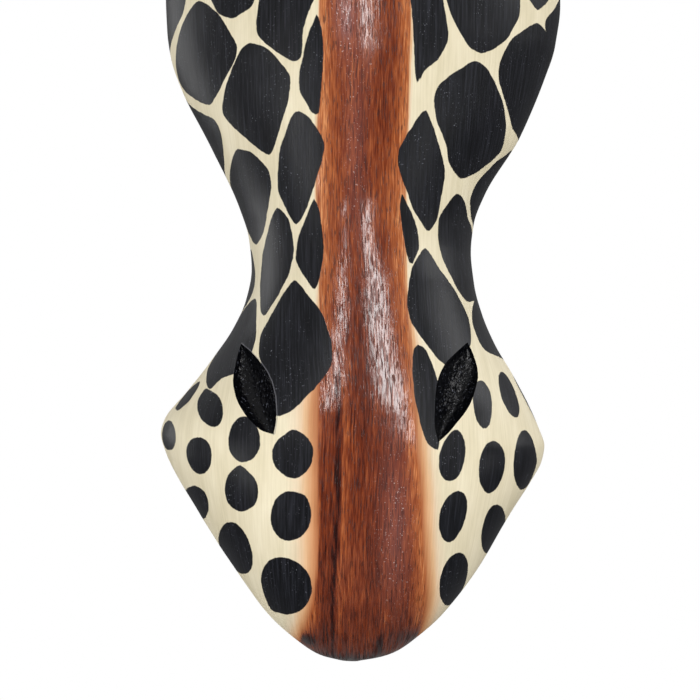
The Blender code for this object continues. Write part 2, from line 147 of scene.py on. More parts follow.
# The stain is thinner beside each edge: how much lighter, and over how many mm.
EDGE_LIGHTER, EDGE_SPAN = 0.36, 5.0
# How dark the stain is, from 0 to 1, as (height, tone).
STAIN_TONE = [(0, 0.8), (8, 0.72), (24, 0.67), (60, 0.65), (110, 0.66), (150, 0.6), (185, 0.52),
              (225, 0.56), (264, 0.58), (395, 0.5)]
# Darker marks in it: (x, height, half width, half height, strength).
STAIN_MARKS = [
    (-13, 72, 3.6, 34, 0.36), (-13.5, 34, 3, 16, 0.25), (-19.7, 10.5, 3, 2.6, 0.9),
    (8.9, 9, 1, 4.5, 0.55), (22, 11, 5.5, 4.4, 0.5), (-2, 1.5, 14, 2.5, 0.25),
    (1, 215, 3, 26, 0.12), (-1, 182, 3, 12, 0.15), (4, 130, 5, 40, 0.1), (11, 225, 5, 45, 0.13),
]
# One fine dark line runs down the left: its place as (height, x), its width, the place, width and
# strength of the lighter line beside it, and its strength.
STREAK = [(0, -9.2), (15, -9.4), (32, -9.2), (50, -8.2), (66, -7.6), (80, -7.3), (112, -7.2)]
STREAK_WIDTH, STREAK_HALO = 0.75, (2.3, 1.1, 0.35)
STREAK_TONE = [(0, 0.2), (20, 0.45), (60, 0.6), (98, 0.5), (112, 0.3), (124, 0)]
# Painted sheen: a violet reflection painted into the stain's colour, in the form of the marks.
PAINTED_SHEEN_MARKS = [
    (14.5, 58, 6, 30, 0.6), (-1, 205, 4, 36, 0.45), (-4.5, 252, 4.5, 15, 1), (4, 236, 2, 14, 0.3),
]

# Distances from black and from stain are kept no further than this.
FAR, STAIN_FAR = 8.0, 16.0

# ---- The black patches: closed outlines seen from the front, each x followed by its height. ----
LEFT_PATCHES = [
    (-67, 263.5, -68.5, 256, -73.5, 246.5, -82, 241, -95, 268, -76, 284, -68, 276),
    (-62, 260.5, -53.5, 254, -46, 241, -48, 233.5, -57.5, 219.7, -70.5, 230, -72, 241, -68.5, 253),
    (-58, 263.5, -48, 268, -39, 266.5, -37.5, 261.5, -40.5, 254.7, -48, 251, -54, 254),
    (-36.5, 264, -38.5, 244.5, -25.5, 233.2, -21, 234.5, -20, 245.5, -15.2, 258.5, -16, 270, -26,
     274, -34, 271),
    (-15, 250.8, -12.5, 240, -14, 214.5, -17, 213.2, -22, 221.5, -22, 230, -19, 242),
    (-41, 241.6, -33.5, 238.6, -25.5, 228.3, -26, 218.7, -32, 200.7, -35.5, 199.2, -52, 214.8, -51,
     226, -45, 239),
    (-68.5, 224, -56.5, 215, -52.8, 207, -52.4, 197, -61, 190, -79, 220),
    (-47, 202.5, -40.5, 200.5, -34, 193.5, -33, 185.5, -36, 170.5, -39.5, 165, -42.5, 169, -47, 177,
     -54, 184, -50.6, 192, -49.4, 198),
    (-22.5, 215, -17.5, 211.5, -12, 200.5, -19.5, 177, -24, 172, -30.5, 185, -30, 199.5, -25.5,
     212.5),
    (-30.5, 179, -26, 174, -24, 162.5, -26, 153, -30.5, 144.5, -35.5, 137, -37.5, 139, -38, 150,
     -37, 161.5, -33, 176),
    (-16.5, 182, -14, 176.5, -12.5, 162, -14.5, 149.5, -17, 147, -23.5, 157.5, -23, 166, -19,
     176.5),
    (-42, 164, -40, 154.5, -40.5, 147.5, -44, 141, -52, 136, -60, 148, -52, 162),
    (-40, 144.5, -39, 138, -39, 128, -43, 116, -52, 113, -57, 108.5, -59, 111, -58, 119, -49.5,
     133),
    (-24, 151, -18, 144.5, -13, 137.5, -9.5, 127, -9.5, 118.5, -15, 110.5, -24.5, 101, -31, 99, -34,
     112, -38, 122, -37, 130.5, -30.5, 142.5),
    (-62, 112, -62, 109.8, -66, 103.5, -70.5, 99.8, -71.8, 101.3, -67.5, 107.5),
]
RIGHT_PATCHES = [
    (19.5, 260, 23, 270, 30, 269, 32, 260, 35, 243.5, 31, 234.5, 25.5, 229.5, 23, 223.5, 21.5, 229,
     20.5, 247.5),
    (32.5, 261, 36.5, 249, 42.5, 240, 48, 237.5, 57.5, 243.5, 63, 253.5, 63, 263, 52, 268, 37, 267),
    (66, 263.5, 77.5, 266, 71, 257),
    (81, 266, 75, 255.5, 74.5, 249.5, 79, 243, 87, 244, 91, 264),
    (70, 252.5, 75, 250, 82, 244, 80, 226, 69.5, 207.5, 61, 211, 55, 227, 55, 235.5, 60, 245),
    (44.5, 235.2, 50.5, 232.2, 56.5, 221.5, 58.5, 211, 56.5, 201.8, 47.5, 193.7, 40, 190, 35, 196,
     34, 202, 30, 211, 29, 220, 31.5, 225.8),
    (26, 215.5, 32, 201, 34, 191, 31, 174.5, 27, 169.5, 21, 178, 15.5, 193, 15.5, 200.5, 20, 208),
    (62, 204, 55, 198.5, 47, 190, 44.2, 183, 45, 176, 48.5, 171, 60, 176, 70, 192),
    (17, 184, 22.5, 172.5, 24, 163.5, 21, 156.5, 19, 159, 16, 176.5),
    (38.5, 185, 42.2, 182, 43.8, 176, 46, 169, 53, 156, 49, 146, 43.5, 142.5, 39, 147, 33, 158.5,
     31, 167.5, 31.5, 175.5),
    (26, 163.5, 32.5, 154.5, 39, 145.5, 43.5, 136, 44, 126, 37, 116.5, 30, 121, 21, 133, 18.5,
     141.5, 20.5, 155),
    (47, 147, 45, 141, 44.8, 134, 48, 126, 51.5, 122.5, 60, 119.5, 67, 126, 57, 146),
    (61, 117, 62.5, 112, 66, 105, 70, 97.5, 73, 93, 81, 96, 69, 119),
    (23, 126.5, 26.5, 124, 30, 115, 32, 106, 31.5, 95, 30.5, 86, 25.5, 89.5, 21.5, 105, 20.5, 117,
     21, 124),
]
# On the brow and crown both sides carry the same patches, drawn here on the right.
CROWN_PATCHES = [
    (23, 275, 33, 276, 39, 283, 40, 292, 37, 301, 28, 303, 22, 295),
    (20, 309, 30, 307, 41, 306, 48, 313, 47, 323, 38, 329, 26, 329, 19, 321),
    (53, 319, 61, 316, 67, 320, 66, 331, 56, 336, 51, 330),
    (67, 272, 78, 272, 92, 277, 90, 291, 74, 292, 67, 284),
    (68, 297, 76, 297, 90, 298, 88, 310, 76, 313, 69, 308),
    (71, 318, 80, 316, 88, 319, 84, 333, 72, 333),
    (17, 336, 28, 334, 37, 335, 39, 347, 34, 358, 23, 360, 16, 350),
    (42, 333, 50, 336, 54, 345, 50, 354, 43, 357, 41, 346),
    (27, 364, 38, 361, 46, 362, 47, 369, 38, 376, 29, 373),
    (56, 358, 64, 358, 72, 361, 66, 371, 55, 371),
    (66, 339, 74, 338, 80, 341, 76, 352, 66, 352),
]
CROWN_SHIFT = -1.5
ROUNDNESS = 0.3
# How far beyond a patch its distance is worked out.
PATCH_REACH = 6
# Outlines nearer each other than this go in different layers, so that a line between stays sharp.
LAYER_GAP, MOST_LAYERS = 4.0, 5

# ---- The muzzle's dots: x, height, width and tall, then any lean and nub in degrees. ----
DOTS = [
    (-56.6, 101.4, 10.6, 14.8, -24, 80), (-73.9, 90.3, 6.6, 12.6), (-60.9, 83.5, 10.9, 15),
    (-43, 89.8, 13.2, 17.5), (-24.3, 84.4, 15.9, 18.2, 0, 90), (-44.3, 70.6, 13.3, 17.9, 0, 90),
    (-63.1, 64.1, 11.8, 14.6), (-25.3, 61.1, 16.4, 19.3, 0, 50), (-47.3, 46.8, 13.5, 23.2, -15),
    (-27.4, 33.3, 20.1, 24.5, 0, 235), (59, 106.4, 6.8, 18.8, -18), (48, 103.3, 8, 19, -6),
    (36, 83.8, 10, 20.9, 10), (51.4, 79.3, 10.8, 20.9, 8), (65, 80.8, 10.2, 23.6, 0, 0),
    (36.4, 60.7, 10.6, 21.1, 10), (53.3, 53.6, 10.6, 22.4, 5), (37.4, 34.9, 11.6, 23.2, 10),
]

# ---- Horns and ears, as in the CAD. ----
HORN_LEAN = math.radians(9)
HORN_PROFILE = [
    (0, 11.2), (10, 10.8), (30, 9.8), (55, 9), (80, 8.4), (93, 8.5), (99, 9.6), (104, 11.8),
    (110, 12.9), (116, 12.2), (121.5, 9.6), (125, 5.5), (126, 0),
]
HORN_LENGTH, HORN_KNOB_START, HORN_GRAIN_RADIUS = 126, 95, 9
HORN_UNEVEN = (0.28, 9.0)
EAR_RISE = math.radians(24)
EAR_LENGTH, EAR_TIP, EAR_SIDES = 82, 8, 56
# The black on the rim of the cup, and where along the ear it starts.
EAR_RIM, EAR_RIM_START = 1.7, 16
# (distance from the foot, value), in mm.
EAR_HALF_WIDTH = [
    (0, 8.6), (8, 8.6), (13, 9.6), (20, 13.2), (30, 17), (42, 18.6), (54, 17.2), (65, 13.2),
    (74, 8), (80, 3.4), (82, 1),
]
EAR_HALF_THICKNESS = [(0, 8.6), (8, 8.6), (13, 7.4), (20, 5.6), (30, 4.4), (42, 3.8), (65, 3.2),
                      (80, 2), (82, 1)]
EAR_CUP = [(0, 0), (8, 0), (13, 1.2), (20, 3.6), (30, 6.2), (42, 7.2), (54, 6.4), (65, 4.6),
           (74, 2.4), (82, 0.2)]
# Spots on the back of the ear: (distance from the foot, across, radius).
EAR_SPOTS = [(26, 6, 4.4), (27, -7, 4), (39, -1, 4.6), (42, 11, 3.6), (44, -12, 3.6),
             (54, 5, 4.2), (57, -6, 3.8), (68, 0, 4)]
# The stain in the cup: how far up its middle lies, and its half length and half width.
EAR_STAIN = (44, 27, 11.5)
DOWEL_RADIUS = 4
GAP = 0.3
# The radius of each foot, and how deep its dowel goes in the block and in the piece.
SEATS = {"horn": (11.2, 20), "ear": (8.6, 15)}
HORN_BORE, EAR_BORE = 20.3, 15.3
# How far the cutters stand out of the wood.
SEAT_REACH, BORE_REACH, PILOT_REACH = 30, 5, 3

# ---- Camera and light. ----
EYE_LEVEL = 124
CAMERA_X = -2.8
VIEW_DISTANCE = 1.0
VIEW_WIDTH = 0.280
SENSOR_WIDTH = 36
LIGHT_DISTANCE = 1.75
LIGHT_AIM_Y = -0.07
FLOOR_RADIUS, FLOOR_DROP = 3.0, 1.0
# (name, azimuth and elevation in degrees, width and height in m, watts, shape, mirrored or not)
LIGHTS = [
    ("left_strip", -19, 16, 0.17, 0.92, 4.6, "ELLIPSE"),
    ("right_strip", 23, 17, 0.5, 1.14, 14.5, "ELLIPSE"),
    ("left_window", -123, 4, 0.55, 0.9, 4.2),
    ("right_window", 96, 28, 0.9, 1.1, 10),
    ("left_low_window", -62, -13, 0.45, 0.55, 5),
    ("right_low_window", 66, -15, 0.4, 0.5, 2.4),
    ("left_fill", -55, 0, 1.2, 1.2, 6.4, "SQUARE", False),
    ("low_fill", 0, -58, 1.2, 1.2, 15, "SQUARE", False),
    ("left_back_fill", -150, 25, 1.2, 1.2, 9, "SQUARE", False),
    ("right_back_fill", 150, 25, 1.2, 1.2, 9, "SQUARE", False),
]


def between(start, end, leave, arrive, t):
    """A smooth curve from start to end for t from 0 to 1, with the slopes to leave and arrive."""
    return ((1 + 2 * t) * (1 - t) ** 2 * start + t * (1 - t) ** 2 * leave
            + t * t * (3 - 2 * t) * end + t * t * (t - 1) * arrive)


def smooth(profile, at):
    """The profile's value at each place, on a smooth curve that never overshoots its points."""
    xs, ys = np.array(profile, float).T
    at = np.clip(np.asarray(at, float), xs[0], xs[-1])
    slopes = np.diff(ys) / np.diff(xs)
    before, after = slopes[:-1], slopes[1:]
    same_way = before * after > 0
    total = np.where(same_way, before + after, 1)
    middle = np.where(same_way, 2 * before * after / total, 0)
    tangents = np.concatenate([slopes[:1], middle, slopes[-1:]])
    i = np.clip(np.searchsorted(xs, at, side="right") - 1, 0, len(xs) - 2)
    span = xs[i + 1] - xs[i]
    return between(ys[i], ys[i + 1], span * tangents[i], span * tangents[i + 1],
                   (at - xs[i]) / span)


def place(points):
    """Millimetres over the muzzle's tip to metres in the shared frame."""
    return np.asarray(points, float) * MM + (0, 0, TIP_Z)


def middle(low, high):
    """The middle of a CAD node's box, in millimetres over the muzzle's tip."""
    x, y, z = (low + high) / 2
    return Vector((x / MM, y / MM, (z - TIP_Z) / MM))


def wave(points, size):
    """Soft noise from -1 to 1 at each point, with features of about this size in mm."""
    return np.array([noise.noise(Vector(point) / size) for point in points])


# ---- Meshes ----


def skin(name, rings, *surfaces, indices=None):
    """A closed solid through rings of points in mm. A ring of one point is a pole."""
    points, faces, loops = [], [], []
    for ring in rings:
        loops.append(range(len(points), len(points) + len(ring)))
        points.extend(ring)
    for lower, upper in zip(loops, loops[1:]):
        count = max(len(lower), len(upper))
        for i in range(count):
            j = (i + 1) % count
            if len(lower) == 1:
                faces.append((lower[0], upper[j], upper[i]))
            elif len(upper) == 1:
                faces.append((lower[i], lower[j], upper[0]))
            else:
                faces.append((lower[i], lower[j], upper[j], upper[i]))
    faces += [tuple(loop) for loop in (loops[0], loops[-1]) if len(loop) > 1]
    mesh = bpy.data.meshes.new(name)
    mesh.from_pydata(place(points).tolist(), [], faces)
    for surface in surfaces:
        mesh.materials.append(surface)
    if indices is not None:
        mesh.polygons.foreach_set("material_index", indices)
    bm = bmesh.new()
    bm.from_mesh(mesh)
    bmesh.ops.recalc_face_normals(bm, faces=bm.faces)
    bm.to_mesh(mesh)
    bm.free()
    obj = bpy.data.objects.new(name, mesh)
    bpy.context.scene.collection.objects.link(obj)
    return obj


def turned(name, foot, axis, profile, surface, sides=48, uneven=None):
    """A solid turned about an axis from (distance, radius) points.

    Its skin may be uneven: by how much, and how wide each bump is.
    """
    axis = Vector(axis).normalized()
    across = axis.cross(Vector((0, 1, 0))).normalized()
    up, along = np.array(axis.cross(across)), np.array(axis)
    angles = 2 * math.pi * np.arange(sides) / sides
    spokes = np.cos(angles)[:, None] * across + np.sin(angles)[:, None] * up
    rings = []
    for distance, radius in profile:
        centre = np.array(foot) + along * distance
        if radius < 1e-6:
            rings.append([centre])
            continue
        ring = centre + spokes * radius
        if uneven:
            ring = ring + spokes * (wave(ring, uneven[1]) * uneven[0])[:, None]
        rings.append(list(ring))
    return skin(name, rings, surface)


def rod(name, foot, axis, radius, start, end, surface, sides=32):
    return turned(name, foot, axis, [(start, radius), (end, radius)], surface, sides)


def cut(obj, cutters):
    """Takes the cutters out of the object, or puts eyeballs in, one after the other."""
    for cutter in cutters:
        modifier = obj.modifiers.new(cutter.name, "BOOLEAN")
        modifier.operation = "UNION" if cutter.name.startswith("eyeball") else "DIFFERENCE"
        modifier.solver = "EXACT"
        modifier.material_mode = "TRANSFER"
        modifier.object = cutter
    graph = bpy.context.evaluated_depsgraph_get()
    made = bpy.data.meshes.new_from_object(obj.evaluated_get(graph))
    obj.modifiers.clear()
    old, obj.data = obj.data, made
    made.name = obj.name
    bpy.data.meshes.remove(old)
    for cutter in cutters:
        bpy.data.objects.remove(cutter)


def shade(obj, sharp_angle=38):
    obj.data.shade_smooth()
    obj.data.set_sharp_from_angle(angle=math.radians(sharp_angle))


def corners_of(obj):
    """The mesh's points, back in mm over the muzzle's tip."""
    flat = np.empty(len(obj.data.vertices) * 3)
    obj.data.vertices.foreach_get("co", flat)
    return (flat.reshape(-1, 3) - (0, 0, TIP_Z)) / MM


def write_values(obj, **named):
    """Stores one number for each point of the mesh under each name, for the materials."""
    for name, values in named.items():
        layer = obj.data.attributes.new(name, "FLOAT", "POINT")
        layer.data.foreach_set("value", np.ascontiguousarray(values, np.float32))


# ---- The face block ----


def face_size(height):
    """Ridge x, left and right half widths, ridge depth and edge depth at each height."""
    ridge = smooth(RIDGE_X, height)
    depth = smooth(RIDGE_DEPTH, height)
    left = ridge - smooth(LEFT_EDGE, height)
    right = smooth(RIGHT_EDGE, height) - ridge
    return ridge, left, right, depth, np.minimum(EDGE_DEPTH, depth / 2)


def face_heights():
    """Rows close together at the tip and the crown, and even between."""
    tip = TIP_SPAN * (np.arange(TIP_ROWS) / TIP_ROWS) ** 2
    top = FACE_HEIGHT - CROWN_SPAN
    rows = round((top - TIP_SPAN) / ROW_STEP)
    even = np.linspace(TIP_SPAN, top, rows + 1)
    crown = FACE_HEIGHT - CROWN_SPAN * (1 - np.arange(1, CROWN_ROWS + 1) / CROWN_ROWS) ** 2
    return np.concatenate([tip, even, crown])


def face_grid():
    """The face's points as rows of sections, each from the back's right edge round the front."""
    heights = face_heights()
    ridge, left, right, depth, edge = (values[:, None] for values in face_size(heights))
    turn = math.pi / 2 * np.arange(ROUNDING_STEPS) / ROUNDING_STEPS
    arc = math.pi / 2 * np.arange(FRONT_STEPS) / FRONT_STEPS
    power = smooth(SECTION_POWER, heights)[:, None]
    wide, deep = np.cos(arc) ** (2 / power), np.sin(arc) ** (2 / power)

    def half(width):
        rounding = np.minimum(BACK_ROUNDING, width / 2)
        across = np.hstack([width - rounding + rounding * np.sin(turn), width * wide])
        out = np.hstack([edge * (1 - np.cos(turn)), edge + (depth - edge) * deep])
        return across, out

    right_across, right_out = half(right)
    left_across, left_out = half(left)
    x = ridge + np.hstack([right_across, np.zeros_like(ridge), -left_across[:, ::-1]])
    y = -np.hstack([right_out, depth, left_out[:, ::-1]])
    z = np.broadcast_to(heights[:, None], x.shape)
    return np.stack([x, y, z], axis=-1)


def with_knife_waves(grid):
    """The slight unevenness that a hand-held knife leaves on the rounded front."""
    flat = grid.reshape(-1, 3)
    uneven = wave(flat, KNIFE_WIDE) + 0.5 * wave(flat + 100, KNIFE_NARROW)
    outward = (flat - (0, -KNIFE_CENTRE, 0)) * (1, 1, 0)
    outward /= np.linalg.norm(outward, axis=1)[:, None]
    lift = KNIFE_WAVE * uneven * np.clip(-flat[:, 1] / EDGE_DEPTH, 0, 1)
    return (flat + outward * lift[:, None]).reshape(grid.shape)


def raw_face(painted, bare):
    """The uncut block, painted all round and bare on its flat back."""
    grid = with_knife_waves(face_grid())
    rows, columns = grid.shape[:2]
    indices = ([0] * (columns - 1) + [1]) * (rows - 1) + [0, 0]
    return skin("carved_face", grid, painted, bare, indices=indices)


def front_at(x, height):
    """How far forward of the back the uncut face stands."""
    ridge, left, right, depth, edge = face_size(height)
    share = np.abs(x - ridge) / np.where(x < ridge, left, right)
    power = smooth(SECTION_POWER, height)
    return edge + (depth - edge) * np.clip(1 - share**power, 0, 1) ** (1 / power)


def nostril_cutter(side, surface):
    """A leaf-shaped gouge cut with sharp tips, lumpy inside."""
    left_edge, right_edge = NOSTRILS[side]
    low, high = left_edge[0][0], left_edge[-1][0]
    across = np.linspace(-1, 1, NOSTRIL_STEPS)
    turns = np.linspace(NOSTRIL_FIRST_ROW, math.pi - NOSTRIL_FIRST_ROW, NOSTRIL_ROWS)
    (full_across, full_along), (lump_width, lump_height) = NOSTRIL_BOWL, NOSTRIL_LUMP
    rings = []
    for share in (1 - np.cos(turns)) / 2:
        height = low + (high - low) * share
        start, end = smooth(left_edge, height), smooth(right_edge, height)
        x = (start + end) / 2 + across * max(0.1, (end - start) / 2)
        skin_out = front_at(x, np.full_like(x, height))
        bowl = (1 - across**2) ** full_across * (4 * share * (1 - share)) ** full_along
        floor = skin_out + NOSTRIL_MARGIN - (NOSTRIL_DEPTH + NOSTRIL_MARGIN) * bowl
        floor = np.stack([x, -floor, np.full_like(x, height)], axis=1)
        floor[:, 1] += wave(floor, lump_width) * lump_height * bowl
        outer = np.stack([x, -skin_out - CUTTER_MARGIN, np.full_like(x, height)], axis=1)
        rings.append(np.concatenate([floor, outer[::-1]]))
    return skin(f"nostril_{side}", rings, surface)


def hollow_cutter(surface):
    """The scoop in the back, dented all over by the mouth of the gouge."""
    rings = []
    low, high = HOLLOW_DEPTH[0][0], HOLLOW_DEPTH[-1][0]
    shares = (1 - np.cos(np.linspace(0, math.pi, HOLLOW_ROWS))) / 2
    angles = np.linspace(0, math.pi, HOLLOW_STEPS)
    for height in low + (high - low) * shares:
        width, depth = smooth(HOLLOW_HALF_WIDTH, height), smooth(HOLLOW_DEPTH, height)
        ring = []
        for angle in angles:
            point = Vector((width * math.cos(angle), -(depth + 3) * math.sin(angle) + 3, height))
            cell = noise.voronoi(point * (1 / GOUGE_MARK))[0][0]
            inside = max(0.0, math.sin(angle))
            ring.append(point + Vector((0, (cell - 0.5) * GOUGE_DEPTH * inside, 0)))
        rings.append([np.array(point) for point in ring])
    return skin("hollow", rings, surface)


def pocket_cutter(surface):
    """The hanger's round-cornered pocket, with the size of the CAD's."""
    centre_x = middle(*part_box("hanger_strap")).x
    half_width = POCKET_HALF_WIDTH - POCKET_CORNER
    top, bottom = POCKET_TOP - POCKET_CORNER, POCKET_BOTTOM + POCKET_CORNER
    outline = []
    for quarter, (x, z) in enumerate([(1, top), (-1, top), (-1, bottom), (1, bottom)]):
        for step in range(9):
            angle = math.pi / 2 * (quarter + step / 8)
            outline.append((centre_x + x * half_width + POCKET_CORNER * math.cos(angle),
                            z + POCKET_CORNER * math.sin(angle)))
    rings = [[np.array((x, y, z)) for x, z in outline] for y in (POCKET_DEPTH, -POCKET_DEPTH)]
    return skin("pocket", rings, surface)


def feet():
    """Where each horn and ear stands on the face, from its CAD dowel, and its axis."""
    made = {}
    for side, sign in SIDES.items():
        for piece, axis in (
            ("horn", Vector((sign * math.sin(HORN_LEAN), 0, math.cos(HORN_LEAN)))),
            ("ear", Vector((sign * math.cos(EAR_RISE), 0, math.sin(EAR_RISE)))),
        ):
            made[piece, side] = middle(*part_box(f"{piece}_dowel_{side}")), axis
    return made


def eye_place(sign):
    """The middle and the axis of one eye's gouge."""
    flip = np.array((sign, 1, 1))
    return np.array(EYE_CENTRE) * flip, np.array(EYE_AXIS) * flip


def eye_cutter(side, sign, surface):
    """A pointed spindle. Half sunk in the wood, it leaves an almond gouge cut."""
    profile = [(share * EYE_LENGTH / 2, EYE_RADIUS * (1 - share * share))
               for share in np.linspace(-1, 1, 37)]
    return turned(f"eye_{side}", *eye_place(sign), profile, surface, 44, EYE_UNEVEN)


def eyeball(side, sign, surface):
    centre, axis = eye_place(sign)
    centre = centre + np.array(EYEBALL_INSET) * (sign, 1, 1)
    profile = [(EYEBALL_LENGTH / 2 * math.sin(a), EYEBALL_WIDTH / 2 * math.cos(a))
               for a in np.linspace(-math.pi / 2, math.pi / 2, 25)]
    return turned(f"eyeball_{side}", centre, axis, profile, surface)


def carve(face, gouged, socket, chiselled, eye):
    """All the cuts in the block, and the eyes put in."""
    cutters = [hollow_cutter(chiselled), pocket_cutter(chiselled)]
    cutters += [nostril_cutter(side, gouged) for side in SIDES]
    for side, sign in SIDES.items():
        cutters += [eye_cutter(side, sign, socket), eyeball(side, sign, eye)]
    for (piece, side), (foot, axis) in feet().items():
        radius, bore = SEATS[piece]
        cutters.append(rod(f"{piece}_seat_{side}", foot, axis, radius + GAP, -GAP, SEAT_REACH,
                           chiselled))
        cutters.append(rod(f"{piece}_bore_{side}", foot, axis, DOWEL_RADIUS + GAP, -bore - GAP,
                           BORE_REACH, chiselled))
    for name in ("upper", "lower"):
        seat = middle(*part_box(f"hanger_screw_{name}"))
        cutters.append(rod(f"pilot_{name}", (seat.x, PILOT_REACH, seat.z), (0, -1, 0),
                           PILOT_RADIUS, 0, PILOT_DEPTH, chiselled, 16))
    cut(face, cutters)


def rounded(outline, steps=7):
    """A closed smooth curve through the outline's points."""
    points = np.array(outline, float)
    curve = []
    for i in range(len(points)):
        before, start, end, after = (points[(i + k) % len(points)] for k in (-1, 0, 1, 2))
        leave, arrive = ROUNDNESS * (end - before), ROUNDNESS * (after - start)
        curve += [between(start, end, leave, arrive, step / steps) for step in range(steps)]
    return np.array(curve)


def unrolled(x, height):
    """How far round the surface from the ridge, in mm, is what is seen from the front at x."""
    ridge, left, right = face_size(height)[:3]
    width = np.where(x < ridge, left, right)
    across = np.abs(x - ridge)
    on_front = width * np.arcsin(np.clip(across / width, 0, 1))
    return np.sign(x - ridge) * (on_front + np.maximum(across - width, 0))


def on_surface(x, height):
    """Points seen from the front, as (distance round the surface, height)."""
    return np.stack([unrolled(x, height), height], axis=1)


def in_layers(outlines):
    """Shares the outlines out, so that no two in one layer lie close together."""
    layers = [[] for _ in range(MOST_LAYERS)]
    for outline in outlines:
        room = [min([np.linalg.norm(outline[:, None] - other, axis=2).min() for other in layer],
                    default=LAYER_GAP) for layer in layers]
        free = [layer for layer, gap in zip(layers, room) if gap >= LAYER_GAP]
        (free[0] if free else layers[int(np.argmax(room))]).append(outline)
    return layers


def distance_inside(points, outline):
    """Distance to a closed outline, in mm, negative inside it."""
    starts, ends = outline, np.roll(outline, -1, axis=0)
    run = ends - starts
    reach = points[:, None] - starts
    share = np.clip((reach * run).sum(2) / (run**2).sum(1), 0, 1)
    away = np.sqrt(((reach - share[..., None] * run) ** 2).sum(2)).min(1)
    over = (starts[:, 1] > points[:, None, 1]) != (ends[:, 1] > points[:, None, 1])
    rise = np.where(run[:, 1] == 0, 1, run[:, 1])
    crossing = starts[:, 0] + (points[:, None, 1] - starts[:, 1]) / rise * run[:, 0]
    inside = (over & (points[:, None, 0] < crossing)).sum(1) % 2 == 1
    return np.where(inside, -away, away)


def dot_outline(index, x, height, width, tall, lean=0, nub=None):
    """A dot put on with one turn of the brush: an uneven oval, some with a nub."""
    angles = np.linspace(0, 2 * math.pi, 28, endpoint=False)
    reach = 1 + 0.03 * np.sin(2 * angles + index * 1.7) + 0.025 * np.sin(3 * angles + index * 2.9)
    if nub is not None:
        off = (angles - math.radians(nub) + math.pi) % (2 * math.pi) - math.pi
        reach += 0.13 * np.exp(-((off / 0.28) ** 2))
    across, up = width / 2 * reach * np.cos(angles), tall / 2 * reach * np.sin(angles)
    tilt = math.radians(lean)
    return (x + across * math.cos(tilt) + up * math.sin(tilt),
            height + up * math.cos(tilt) - across * math.sin(tilt))


def painted_outlines():
    """Every patch and dot as a closed outline of (distance round the surface, height)."""
    drawn = [np.array(patch, float).reshape(-1, 2)
             for patch in LEFT_PATCHES + RIGHT_PATCHES + CROWN_PATCHES]
    drawn += [patch * (-1, 1) + (CROWN_SHIFT, 0) for patch in drawn[-len(CROWN_PATCHES):]]
    made = [rounded(on_surface(*patch.T)) for patch in drawn]
    return made + [on_surface(*dot_outline(index, *dot)) for index, dot in enumerate(DOTS)]


def distance_to_eye(points, sign):
    """How far points lie from the skin of an eye's spindle, roughly, in mm."""
    centre, axis = eye_place(sign)
    along = axis / np.linalg.norm(axis)
    reach = points - centre
    share = np.clip(reach @ along / (EYE_LENGTH / 2), -1, 1)
    nearest = share[:, None] * along * EYE_LENGTH / 2
    return np.linalg.norm(reach - nearest, axis=1) - EYE_RADIUS * (1 - share**2)


def marked(marks, x, height):
    """The marks' strength at each point, each fading out round its middle."""
    total = np.zeros(len(x))
    for mark_x, mark_height, half_width, half_height, strength in marks:
        far = ((x - mark_x) / half_width) ** 2 + ((height - mark_height) / half_height) ** 2
        total += strength * np.exp(-far)
    return total


def paint(face):
    """Works out, for each point, how far it is from the edge of the black and of the stain."""
    points = corners_of(face)
    x, out, height = points[:, 0], -points[:, 1], points[:, 2]
    ridge, left, right, _, edge = face_size(height)
    width = np.where(x < ridge, left, right)
    round_edge = np.sign(x - ridge) * (width * math.pi / 2 + edge - out)
    around = np.where(out >= edge - 0.3, unrolled(x, height), round_edge)
    spots = np.stack([around, height], axis=1)
    from_eye = np.min([np.full(len(points), FAR)]
                      + [distance_to_eye(points, sign) for sign in SIDES.values()], axis=0)
    blacks = {}
    for index, layer in enumerate(in_layers(painted_outlines())):
        black = np.full(len(points), FAR)
        for outline in layer:
            low, high = outline.min(0) - PATCH_REACH, outline.max(0) + PATCH_REACH
            near = np.flatnonzero(((spots > low) & (spots < high)).all(1))
            if len(near):
                black[near] = np.minimum(black[near], distance_inside(spots[near], outline))
        blacks[f"black_{index}_mm"] = np.maximum(black, EYE_RING - from_eye)
    blacks[f"black_{MOST_LAYERS}_mm"] = from_eye - EYE_LINER

    inside_left = x - smooth(STRIPE_LEFT, height)
    inside_right = smooth(STRIPE_RIGHT, height) - x
    nearer_left = inside_left < inside_right
    fade = np.where(nearer_left, smooth(FADE_LEFT, height), smooth(FADE_RIGHT, height))
    stain = np.where(nearer_left, inside_left, inside_right)
    tone = smooth(STAIN_TONE, height) - EDGE_LIGHTER * np.exp(-((stain / EDGE_SPAN) ** 2))
    off_streak = x - smooth(STREAK, height)
    beside, halo_width, halo = STREAK_HALO
    streak = np.exp(-((off_streak / STREAK_WIDTH) ** 2))
    streak = streak - halo * np.exp(-(((off_streak - beside) / halo_width) ** 2))
    tone = tone + marked(STAIN_MARKS, x, height) + smooth(STREAK_TONE, height) * streak
    # How far each point lies from the left nostril's rim, along which a thin highlight is painted.
    left_edge, right_edge = NOSTRILS["left"]
    rim_height, rim_x = np.array(left_edge + right_edge[-2:0:-1], float).T
    near = (np.abs(points[:, ::2] - RIM_HIGHLIGHT_MIDDLE) < RIM_HIGHLIGHT_REACH).all(1)
    rim = np.full(len(points), FAR)
    rim[near] = distance_inside(spots[near], on_surface(rim_x, rim_height))
    rim = np.where(x > smooth(right_edge, height) - 0.5, rim, FAR)
    # The sheen marks store where a violet reflection is painted into the stain.
    write_values(face, around_mm=around, along_mm=height, fade_mm=fade, tone=tone, **blacks,
                 haze=marked(PAINTED_SHEEN_MARKS, x, height),
                 stain_mm=np.clip(stain, -STAIN_FAR, STAIN_FAR), rim_mm=np.clip(rim, -FAR, FAR))


